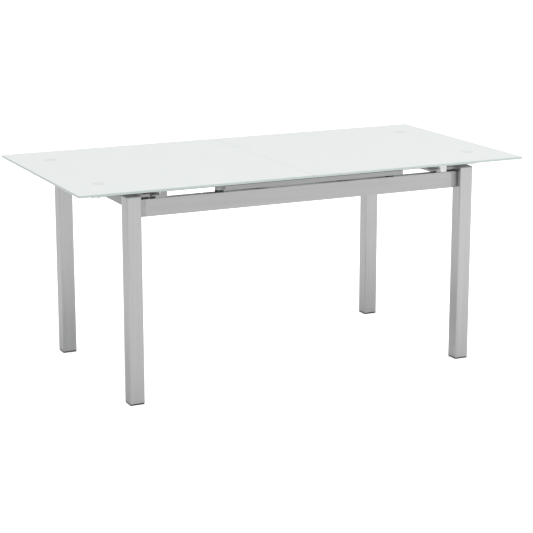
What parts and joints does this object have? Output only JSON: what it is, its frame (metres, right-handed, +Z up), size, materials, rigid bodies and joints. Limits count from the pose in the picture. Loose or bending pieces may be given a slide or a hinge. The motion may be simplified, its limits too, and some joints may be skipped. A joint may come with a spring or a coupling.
{
  "type": "extendable dining table",
  "caption": "Rectangular dining table with a frosted glass top in two sliding halves, a square-leg steel frame and a spare leaf stored below.",
  "frame": {"origin": "centre of the footprint, on the floor under the middle of the table", "axes": "+X along the table, -Y towards the front long side, +Z up"},
  "size_m": [1.7, 0.85, 0.75],
  "materials": {
    "leg_steel": "vertical brushed grain, satin",
    "apron_steel": "lengthwise brushed grain, satin",
    "bar_steel": "lengthwise brushed grain, satin",
    "arm_steel": "fine silver powder coat",
    "leaf_steel": "lengthwise brushed grain, satin",
    "leg_cap": "dark grey moulded, fine texture",
    "black_plastic": "fine moulded texture",
    "fitting_metal": "satin die-cast",
    "bolt_steel": "bright zinc plate",
    "nylon": "natural nylon, slightly waxy",
    "black_rubber": "matt moulded rubber",
    "frosted_glass": "white back-coated frosted glass with a green polished edge",
    "disc_metal": "satin turned"
  },
  "bodies": {
    "frame": {"front_left_leg": "leg_steel", "front_right_leg": "leg_steel", "rear_left_leg": "leg_steel", "rear_right_leg": "leg_steel", "leg_caps": "leg_cap", "foot_glides": "black_plastic", "front_apron": "apron_steel", "rear_apron": "apron_steel", "left_end_apron": "apron_steel", "right_end_apron": "apron_steel", "long_apron_fittings": "fitting_metal", "end_apron_fittings": "fitting_metal", "apron_bolts": "bolt_steel", "left_cross_bar": "bar_steel", "right_cross_bar": "bar_steel", "cross_bar_caps": "bar_steel", "right_bar_end_blocks": "nylon", "cross_bar_screws": "bolt_steel", "bar_end_bumpers": "black_rubber", "left_arm_guides": "nylon", "right_arm_guides": "nylon", "arm_rest_pads": "nylon", "glass_slide_strips": "nylon", "front_left_bracket": "apron_steel", "front_right_bracket": "apron_steel", "rear_left_bracket": "apron_steel", "rear_right_bracket": "apron_steel", "bracket_spacers": "black_rubber", "leaf_rest_pads": "black_rubber", "leaf_rest_blocks": "bar_steel"},
    "left_top": {"left_glass": "frosted_glass", "left_front_arm": "arm_steel", "left_rear_arm": "arm_steel", "left_tie_bar": "arm_steel", "left_arm_caps": "black_plastic", "left_glass_discs": "disc_metal", "left_disc_posts": "arm_steel", "left_disc_screws": "bolt_steel", "left_stop_bumpers": "black_rubber"},
    "right_top": {"right_glass": "frosted_glass", "right_front_arm": "arm_steel", "right_rear_arm": "arm_steel", "right_tie_bar": "arm_steel", "right_arm_caps": "black_plastic", "right_glass_discs": "disc_metal", "right_disc_posts": "arm_steel", "right_disc_screws": "bolt_steel", "right_stop_bumpers": "black_rubber"},
    "leaf": {"leaf_glass": "frosted_glass", "leaf_front_edge": "leaf_steel", "leaf_rear_edge": "leaf_steel", "leaf_left_edge": "leaf_steel", "leaf_right_edge": "leaf_steel", "leaf_support_bars": "leaf_steel", "leaf_bumpers": "black_rubber"}
  },
  "joints": [
    {"name": "left_top_slide", "type": "slide", "parent": "frame", "child": "left_top", "axis": [-1, 0, 0], "range_m": [0, 0.343]},
    {"name": "right_top_slide", "type": "slide", "parent": "frame", "child": "right_top", "axis": [1, 0, 0], "range_m": [0, 0.343]},
    {"name": "leaf_slide", "type": "slide", "parent": "frame", "child": "leaf", "axis": [0, -1, 0], "range_m": [0, 0.84]}
  ]
}
